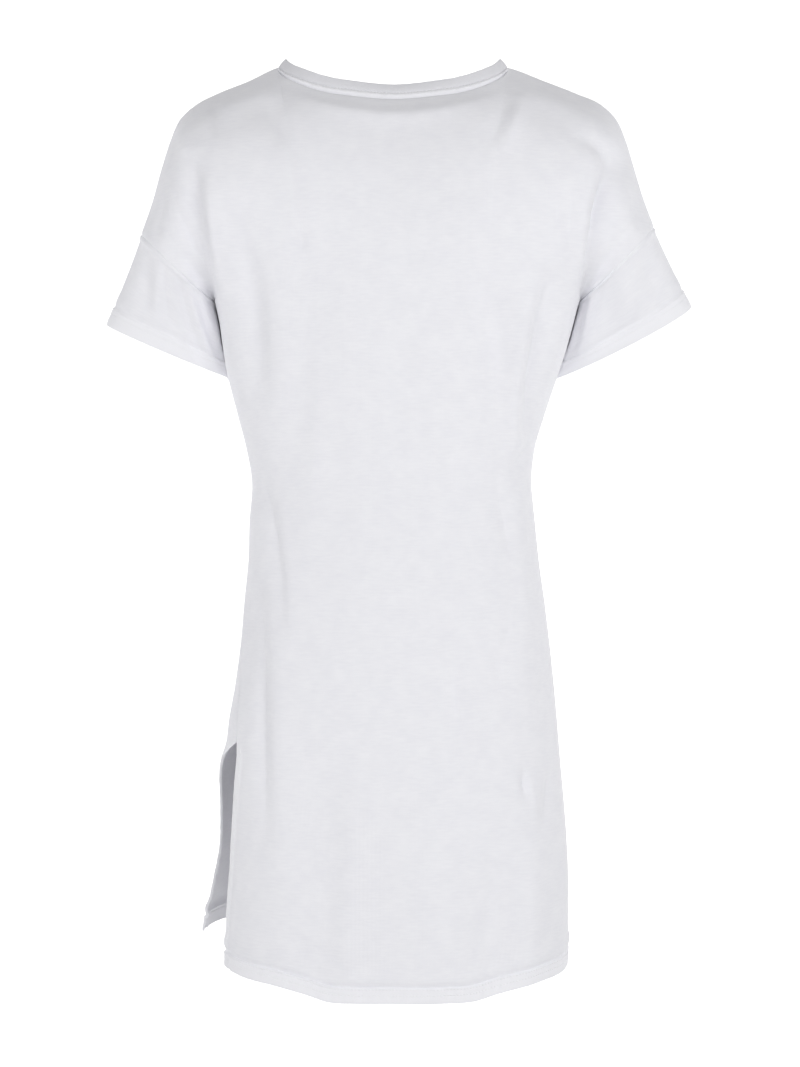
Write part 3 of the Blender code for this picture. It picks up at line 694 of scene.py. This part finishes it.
def sleeveGrid(panels, side):
    look = sleeve["cuffs"][side]
    outer = np.array(look["outer"]) * np.array([side, 1, 1])
    inner = np.array(look["inner"]) * np.array([side, 1, 1])
    angles, loop = sleeveAngles(), sleeveLoop(panels, side)
    turn = radians(look["turn"])
    deep = sleeve["cuffDepth"] * np.array([0, cos(turn), -sin(turn)])
    cuff = (outer + inner) / 2
    cuff = cuff + np.outer(np.cos(angles), (outer - inner) / 2) + np.outer(np.sin(angles), deep)
    low = np.array(sleeve["seamSteps"]) / sleeve["length"]
    high = 1 - np.array(sleeve["cuffSteps"][::-1]) / sleeve["length"]
    along = np.concatenate([low[:-1], np.linspace(low[-1], high[0], sleeve["rings"]), high[1:]])
    degrees = np.degrees(angles)
    points, normals = bodyBeside(panels, side)
    rings = []
    for t in along:
        sideways = t ** look["flare"]
        ring = loop + (cuff - loop) * np.array([sideways, sideways, t])
        outwards = ring - ring.mean(axis=0)
        outwards /= np.linalg.norm(outwards, axis=1, keepdims=True)
        lift = np.zeros(len(angles))
        for crease in sleeveCreases[side]:
            row = dict(zip(sleeveCreaseNames, crease))
            share = (t - row["along0"]) / (row["along1"] - row["along0"])
            centre = row["angle0"] + (row["angle1"] - row["angle0"]) * share
            fade = np.sin(pi * np.clip(share, 0, 1)) ** sleeve["creaseFade"]
            lift += row["depth"] * fade * bump(degrees - centre, row["width"])
        ring = ring + outwards * lift[:, None]
        rings.append(ring + (movedClear(ring, points, normals) - ring) * ease(t / sleeve["opens"]))
    grid = np.array(rings)
    fromSeam, around = walked(grid, 0), walked(grid, 1)
    lift = hemLift(fromSeam[-1:] - fromSeam, around, hems["sleeve"])
    ridge = seams["armhole"]
    raised = ridge["height"] * bump(fromSeam - ridge["beyond"], ridge["width"])
    lift += raised * ease(fromSeam / ridge["from"])
    return grid + normalsOf(grid, True, side == left) * lift[..., None]


def hemWeight(distance, width):
    return ease(1 + (width - distance) / hemForm["doubledFade"])


def panelThickness(grid):
    # Full weight where the hem, the slit's edge and the neck strip are doubled
    fromHem = walked(grid, 0)
    fromRight = walked(grid, 1)
    thick = hemWeight(fromHem, hems["body"]["width"])
    below = (np.arange(len(grid)) < slitRow())[:, None]
    thick = np.maximum(thick, hemWeight(fromRight[:, -1:] - fromRight, hems["slit"]["width"]) * below)
    first, last = neckSpan()
    strip = hemWeight(fromHem[-1:] - fromHem, hems["neck"]["width"])
    thick[:, first:last] = np.maximum(thick[:, first:last], strip[:, first:last])
    return thick


def sleeveThickness(grid):
    far = walked(grid, 0)
    return hemWeight(far[-1:] - far, hems["sleeve"]["width"])


def neckbandGrid(panels):
    first, last = neckSpan()
    loop = np.concatenate([panels[back][-1, first:last], panels[front][-1, first:last][::-1][1:-1]])
    middle = np.array([0, loop[:, 1].mean(), 0])
    inward = middle - loop
    inward[:, 2] = 0
    inward /= np.linalg.norm(inward, axis=1, keepdims=True)
    rings = []
    for t in np.linspace(0, 1, neckband["rings"]):
        swell = neckband["swell"] * 4 * t * (1 - t)
        swell -= neckband["seamDepth"] * bump(t, neckband["seamWidth"])
        leaned = loop + inward * (neckband["lean"] * t - swell)
        rings.append(leaned + np.array([0, 0, neckband["rise"] * t]))
    return np.array(rings)


def finishMesh(name, mesh, material):
    # Turns a bmesh into a smooth object with one material
    for face in mesh.faces:
        face.smooth = True
    data = bpy.data.meshes.new(name)
    mesh.to_mesh(data)
    mesh.free()
    data.materials.append(material)
    piece = bpy.data.objects.new(name, data)
    bpy.context.scene.collection.objects.link(piece)
    return piece


def clothPiece(name, grid, closed, turned, look, replaced, material, thick=None):
    # A flat grid whose points are moved onto the surface, then given a wall on its inner side
    rows, columns = grid.shape[:2]
    wide = columns if closed else columns - 1
    mesh = bmesh.new()
    cut = mesh.loops.layers.uv.new("cut")
    deform = mesh.verts.layers.deform.verify()
    doubled = mesh.verts.layers.float.new("doubled")
    bmesh.ops.create_grid(mesh, x_segments=wide, y_segments=rows - 1, size=0.5)
    whole = np.concatenate([grid, grid[:, :1]], axis=1) if closed else grid
    across, up = walked(whole, 1), walked(whole, 0)
    if not closed:
        # Courses of the knit lie level round the body, wales stand upright
        across, up = walked(whole * np.array([1, 1, 0]), 1), whole[..., 2]
        across = across - across[:, columns // 2][:, None]
    places = {}
    for vert in mesh.verts:
        column, row = round((vert.co.x + 0.5) * wide), round((vert.co.y + 0.5) * (rows - 1))
        places[vert.index] = (row, column)
    for face in mesh.faces:
        for loop in face.loops:
            row, column = places[loop.vert.index]
            loop[cut].uv = (across[row, column], up[row, column])
    for vert in mesh.verts:
        row, column = places[vert.index]
        vert.co = whole[row, column]
        vert[doubled] = 0.0 if thick is None else float(thick[row, column % columns])
        vert[deform][0] = vert[doubled]
    if closed:
        bmesh.ops.remove_doubles(mesh, verts=mesh.verts, dist=1e-6)
    if turned:
        bmesh.ops.reverse_faces(mesh, faces=mesh.faces)
    piece = finishMesh(name, mesh, material)
    piece.vertex_groups.new(name="turnedHem")
    wall = piece.modifiers.new("wall", "SOLIDIFY")
    wall.thickness = look.get("hemWall", look["wall"])
    wall.offset = -1
    if thick is not None:
        wall.vertex_group = "turnedHem"
        wall.thickness_vertex_group = look["wall"] / look["hemWall"]
    soft = piece.modifiers.new("softEdge", "BEVEL")
    soft.width = softEdge["width"]
    soft.segments = softEdge["segments"]
    soft.profile = 0.5
    soft.limit_method = "ANGLE"
    soft.angle_limit = radians(softEdge["angle"])
    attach(piece, "root")
    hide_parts(replaced)
    print("made", name, rows, "x", columns)
    return piece


def stitchLine(grid, out, distance):
    # A line of points and normals at one distance from the grid's first row
    far = walked(grid, 0)
    points, normals = [], []
    for column in range(grid.shape[1]):
        for source, result in ((grid, points), (out, normals)):
            result.append([np.interp(distance, far[:, column], source[:, column, axis]) for axis in range(3)])
    return np.array(points), np.array(normals)


def sewLine(mesh, points, normals, closed):
    # Short stitches laid end to end along a line
    if closed:
        points, normals = np.concatenate([points, points[:1]]), np.concatenate([normals, normals[:1]])
    lengths = np.concatenate([[0], np.cumsum(np.linalg.norm(np.diff(points, axis=0), axis=1))])
    count = int(lengths[-1] / stitch["pitch"])
    middles = (np.arange(count) + 0.5) * lengths[-1] / count
    half = stitch["length"] / 2

    def pointAt(at):
        return Vector([np.interp(at, lengths, points[:, axis]) for axis in range(3)])

    for middle in middles:
        along = (pointAt(middle + half) - pointAt(middle - half)).normalized()
        up = Vector([np.interp(middle, lengths, normals[:, axis]) for axis in range(3)])
        across = up.cross(along).normalized()
        up = along.cross(across)
        size = (along * half, across * stitch["width"] / 2, up * stitch["height"] / 2)
        place = Matrix(size).transposed().to_4x4()
        place.translation = pointAt(middle) + up * stitch["height"] * stitch["raised"]
        bmesh.ops.create_icosphere(mesh, subdivisions=1, radius=1, matrix=place)


def sewnPiece(name, lines, material):
    mesh = bmesh.new()
    for points, normals, closed in lines:
        sewLine(mesh, points, normals, closed)
    piece = finishMesh(name, mesh, material)
    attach(piece, "root")
    print("sewn", name, len(piece.data.polygons), "faces")
    return piece


def panelSewing(grid, face):
    # The lines of stitching at the hem and slit of a panel, and those round its neck
    out = normalsOf(grid, False, face == back)
    rows = slitRow()
    first, last = neckSpan()
    lines = [(*stitchLine(grid, out, row), False) for row in hems["body"]["stitching"]]
    sideways = np.swapaxes(grid[:rows, ::-1], 0, 1), np.swapaxes(out[:rows, ::-1], 0, 1)
    lines += [(*stitchLine(*sideways, row), False) for row in hems["slit"]["stitching"]]
    top = grid[::-1, first:last], out[::-1, first:last]
    return lines, [(*stitchLine(*top, row), False) for row in hems["neck"]["stitching"]]


# Finishes
def linear(hexColour):
    channels = [int(hexColour[i : i + 2], 16) / 255 for i in (1, 3, 5)]
    return tuple(c / 12.92 if c <= 0.04045 else ((c + 0.055) / 1.055) ** 2.4 for c in channels) + (1.0,)


def addNode(tree, kind, settings=None, values=None, links=None):
    node = tree.nodes.new(kind)
    for name, value in (settings or {}).items():
        setattr(node, name, value)
    for socket, value in (values or {}).items():
        node.inputs[socket].default_value = value
    for socket, source in (links or {}).items():
        tree.links.new(source, node.inputs[socket])
    return node


def newFinish(name, look):
    # A material whose constants are set straight on its shader
    material = bpy.data.materials.new(name)
    material.use_nodes = True
    shader = material.node_tree.nodes["Principled BSDF"]
    shader.inputs["Roughness"].default_value = look["roughness"]
    if "sheen" in look:
        shader.inputs["Sheen Weight"].default_value = look["sheen"]
        shader.inputs["Sheen Roughness"].default_value = look["sheenRoughness"]
        shader.inputs["Specular IOR Level"].default_value = look["specular"]
    return material, material.node_tree, shader


def waveScale(pitch):
    # A wave texture repeats every tenth of pi at a scale of one
    return pi / 10 / pitch


# Single cotton jersey, combed and bleached: matt, with fine upright wales and a faint soft nap
jersey = {
    "light": "#f4f4f8",
    "shade": "#efeff4",
    "doubled": "#f6f6fa",
    "walePitch": 0.0012,   # real wales are 0.7 mm apart, so these are a little coarser
    "coursePitch": 0.0010,
    "slubScale": (90, 600),
    "cloudScale": 60.0,
    "toneFrom": 0.8,
    "toneTo": 1.4,
    "relief": {"Strength": 0.25, "Distance": 0.00022},
    "roughness": 0.85,
    "sheen": 0.2,
    "sheenRoughness": 0.5,
    "specular": 0.25,
}
# Cotton rib of the neckband: the same yarn in raised ribs, with painted shade darkening the hollows between
# the ribs
rib = {
    "light": "#f4f4f8",
    # The rib's own white is the light colour; this darker one is painted shade for the hollows between the
    # ribs
    "shade": "#e8e8ed",
    "pitch": 0.0016,
    "relief": {"Strength": 0.5, "Distance": 0.0004},
    "roughness": 0.88,
    "sheen": 0.2,
    "sheenRoughness": 0.5,
    "specular": 0.25,
}
# Spun polyester sewing thread, a little smoother than the cloth
thread = {"colour": "#fafafb", "twistScale": 900.0, "roughness": 0.6}


def jerseyMaterial():
    material, tree, shader = newFinish("bleachedCottonJersey", jersey)
    uv = addNode(tree, "ShaderNodeUVMap", {"uv_map": "cut"}).outputs["UV"]
    place = addNode(tree, "ShaderNodeTexCoord").outputs["Object"]
    wales = addNode(
        tree, "ShaderNodeTexWave", {"wave_type": "BANDS", "bands_direction": "X"},
        {"Scale": waveScale(jersey["walePitch"]), "Distortion": 1.2, "Detail": 2.0, "Detail Scale": 0.4},
        {"Vector": uv},
    )
    courses = addNode(
        tree, "ShaderNodeTexWave", {"wave_type": "BANDS", "bands_direction": "Y"},
        {"Scale": waveScale(jersey["coursePitch"]), "Distortion": 1.2, "Detail": 2.0, "Detail Scale": 0.4},
        {"Vector": uv},
    )
    stretched = addNode(tree, "ShaderNodeMapping", {}, {"Scale": (*jersey["slubScale"], 1)}, {"Vector": uv})
    slubs = addNode(
        tree, "ShaderNodeTexNoise", {}, {"Scale": 1.0, "Detail": 3.0}, {"Vector": stretched.outputs[0]}
    )
    clouds = addNode(
        tree, "ShaderNodeTexNoise", {}, {"Scale": jersey["cloudScale"], "Detail": 3.0}, {"Vector": place}
    )
    knit = addNode(
        tree, "ShaderNodeMath", {"operation": "MULTIPLY_ADD"}, {1: 0.5},
        {0: courses.outputs["Fac"], 2: wales.outputs["Fac"]},
    )
    slubKnit = addNode(
        tree, "ShaderNodeMath", {"operation": "MULTIPLY_ADD"}, {1: 1.2},
        {0: slubs.outputs["Fac"], 2: knit.outputs[0]},
    )
    mixed = addNode(
        tree, "ShaderNodeMath", {"operation": "MULTIPLY_ADD"}, {1: 1.2},
        {0: slubs.outputs["Fac"], 2: clouds.outputs["Fac"]},
    )
    tone = addNode(
        tree, "ShaderNodeMapRange", {},
        {"From Min": jersey["toneFrom"], "From Max": jersey["toneTo"]}, {"Value": mixed.outputs[0]},
    )
    colour = addNode(
        tree, "ShaderNodeMix", {"data_type": "RGBA"},
        {"A": linear(jersey["shade"]), "B": linear(jersey["light"])}, {"Factor": tone.outputs[0]},
    )
    relief = addNode(tree, "ShaderNodeBump", {}, jersey["relief"], {"Height": slubKnit.outputs[0]})
    # Two layers let less light through, so turned hems look whiter
    doubled = addNode(tree, "ShaderNodeAttribute", {"attribute_name": "doubled"})
    colour = addNode(
        tree, "ShaderNodeMix", {"data_type": "RGBA"}, {"B": linear(jersey["doubled"])},
        {"Factor": doubled.outputs["Fac"], "A": colour.outputs["Result"]},
    )
    tree.links.new(colour.outputs["Result"], shader.inputs["Base Color"])
    tree.links.new(relief.outputs["Normal"], shader.inputs["Normal"])
    return material


def ribMaterial():
    material, tree, shader = newFinish("cottonRibKnit", rib)
    uv = addNode(tree, "ShaderNodeUVMap", {"uv_map": "cut"}).outputs["UV"]
    ribs = addNode(
        tree, "ShaderNodeTexWave", {"wave_type": "BANDS", "bands_direction": "X"},
        {"Scale": waveScale(rib["pitch"]), "Distortion": 0.6, "Detail": 1.0}, {"Vector": uv},
    )
    # Painted shade: where the ribs' relief runs low, in the hollows, the colour turns to the darker shade
    # tone
    colour = addNode(
        tree, "ShaderNodeMix", {"data_type": "RGBA"},
        {"A": linear(rib["shade"]), "B": linear(rib["light"])}, {"Factor": ribs.outputs["Fac"]},
    )
    relief = addNode(tree, "ShaderNodeBump", {}, rib["relief"], {"Height": ribs.outputs["Fac"]})
    tree.links.new(colour.outputs["Result"], shader.inputs["Base Color"])
    tree.links.new(relief.outputs["Normal"], shader.inputs["Normal"])
    return material


def threadMaterial():
    material, tree, shader = newFinish("spunPolyesterThread", thread)
    place = addNode(tree, "ShaderNodeTexCoord").outputs["Object"]
    twist = addNode(
        tree, "ShaderNodeTexNoise", {}, {"Scale": thread["twistScale"], "Detail": 2.0}, {"Vector": place}
    )
    colour = addNode(
        tree, "ShaderNodeMix", {"data_type": "RGBA"},
        {"A": linear(jersey["shade"]), "B": linear(thread["colour"])}, {"Factor": twist.outputs["Fac"]},
    )
    tree.links.new(colour.outputs["Result"], shader.inputs["Base Color"])
    return material


panels = {face: panelGrid(face) for face in (back, front)}
print("panels shaped:", panels[back].shape)
sleeves = {side: sleeveGrid(panels, side) for side in (left, right)}
band = neckbandGrid(panels)
cotton, ribbed, sewing = jerseyMaterial(), ribMaterial(), threadMaterial()


backCloth = clothPiece(
    "back_cloth", panels[back], False, True, body, "back_panel", cotton,
    panelThickness(panels[back]),
)
frontCloth = clothPiece(
    "front_cloth", panels[front], False, False, body, "front_panel", cotton,
    panelThickness(panels[front]),
)
leftSleeve = clothPiece(
    "left_sleeve_cloth", sleeves[left], True, True, sleeve, "sleeve_left", cotton,
    sleeveThickness(sleeves[left]),
)
rightSleeve = clothPiece(
    "right_sleeve_cloth", sleeves[right], True, False, sleeve, "sleeve_right", cotton,
    sleeveThickness(sleeves[right]),
)
neckRib = clothPiece("neckband_rib", band, True, True, neckband, "neckband", ribbed)


for face, name in ((back, "back"), (front, "front")):
    edges, neckLines = panelSewing(panels[face], face)
    sewnPiece(name + "_hem_stitches", edges, sewing)
    sewnPiece(name + "_neck_stitches", neckLines, sewing)
for side, name in ((left, "left"), (right, "right")):
    grid = sleeves[side][::-1]
    out = normalsOf(sleeves[side], True, side == left)[::-1]
    rows = [(*stitchLine(grid, out, row), True) for row in hems["sleeve"]["stitching"]]
    sewnPiece(name + "_sleeve_stitches", rows, sewing)

# The studio: a white paper sweep, a large soft light on each side of the camera, and the camera
studio = {
    "floor": -1.20,
    "wallY": -3.3,
    "bend": 0.9,
    "halfWidth": 6.0,
    "nearY": 6.0,
    "top": 3.2,
    "paper": "#c9c9c9",
    "glow": {"behind": 1.0, "before": 0.14, "from": -0.9, "to": -0.1},
    "world": 0.28,
    "lit": (0, 0, -0.42),
}
lights = (
    {"name": "keyLight", "place": (-1.1, 2.6, 0.05), "size": 1.4, "power": 27},
    {"name": "fillLight", "place": (1.4, 2.5, -0.05), "size": 1.4, "power": 15.5},
    {"name": "rightSide", "place": (-2.6, 0.6, 0.6), "size": 1.4, "power": 13},
    {"name": "leftSide", "place": (2.6, 0.6, -0.1), "size": 1.4, "power": 11},
    {"name": "frontFill", "place": (0.4, -2.6, 0.8), "size": 2.0, "power": 14},
)
view = {"place": (-0.0058, 2.1, -0.4533), "frame": (800, 1067), "pixelsPerMetre": 1040, "sensor": 24}


def sweepProfile(share):
    # The paper runs back along the floor, bends up and climbs behind the dress
    flat = studio["nearY"] - studio["wallY"] - studio["bend"]
    curved = studio["bend"] * pi / 2
    tall = studio["top"] - studio["floor"] - studio["bend"]
    far = share * (flat + curved + tall)
    if far <= flat:
        return studio["nearY"] - far, studio["floor"]
    if far <= flat + curved:
        angle = (far - flat) / studio["bend"]
        y = studio["wallY"] + studio["bend"] * (1 - sin(angle))
        return y, studio["floor"] + studio["bend"] * (1 - cos(angle))
    return studio["wallY"], studio["floor"] + studio["bend"] + far - flat - curved


def makeSweep():
    mesh = bmesh.new()
    bmesh.ops.create_grid(mesh, x_segments=8, y_segments=90, size=1.0)
    for vert in mesh.verts:
        y, z = sweepProfile((vert.co.y + 1) / 2)
        vert.co = (-vert.co.x * studio["halfWidth"], y, z)
    finishMesh("paperSweep", mesh, paperMaterial())


def paperMaterial():
    paper, tree, shader = newFinish("mattWhitePaper", {"roughness": 1.0})
    shader.inputs["Base Color"].default_value = linear(studio["paper"])
    place = addNode(tree, "ShaderNodeTexCoord").outputs["Object"]
    across = addNode(tree, "ShaderNodeSeparateXYZ", {}, {}, {"Vector": place})
    glow = studio["glow"]
    lit = addNode(
        tree, "ShaderNodeMapRange", {},
        {
            "From Min": glow["from"], "From Max": glow["to"],
            "To Min": glow["behind"], "To Max": glow["before"],
        },
        {"Value": across.outputs["Y"]},
    )
    shader.inputs["Emission Color"].default_value = (1, 1, 1, 1)
    tree.links.new(lit.outputs["Result"], shader.inputs["Emission Strength"])
    return paper


def aim(thing, target):
    thing.rotation_euler = (Vector(target) - thing.location).to_track_quat("-Z", "Y").to_euler()


def makeLights():
    for look in lights:
        data = bpy.data.lights.new(look["name"], "AREA")
        data.size = look["size"]
        data.energy = look["power"]
        lamp = bpy.data.objects.new(look["name"], data)
        lamp.location = look["place"]
        bpy.context.scene.collection.objects.link(lamp)
        aim(lamp, studio["lit"])
    world = bpy.data.worlds.new("softWorld")
    world.use_nodes = True
    world.node_tree.nodes["Background"].inputs["Strength"].default_value = studio["world"]
    world.node_tree.nodes["Background"].inputs["Color"].default_value = (1, 1, 1, 1)
    bpy.context.scene.world = world


def makeCamera():
    data = bpy.data.cameras.new("photoCamera")
    data.sensor_fit = "VERTICAL"
    data.sensor_height = view["sensor"]
    tall = view["frame"][1] / view["pixelsPerMetre"]
    data.lens = data.sensor_height * view["place"][1] / tall
    camera = bpy.data.objects.new("photoCamera", data)
    camera.location = view["place"]
    camera.rotation_euler = (radians(90), 0, radians(180))
    bpy.context.scene.collection.objects.link(camera)
    bpy.context.scene.camera = camera


makeSweep()
makeLights()
makeCamera()
bpy.context.scene.view_settings.view_transform = "Standard"
print("studio ready")
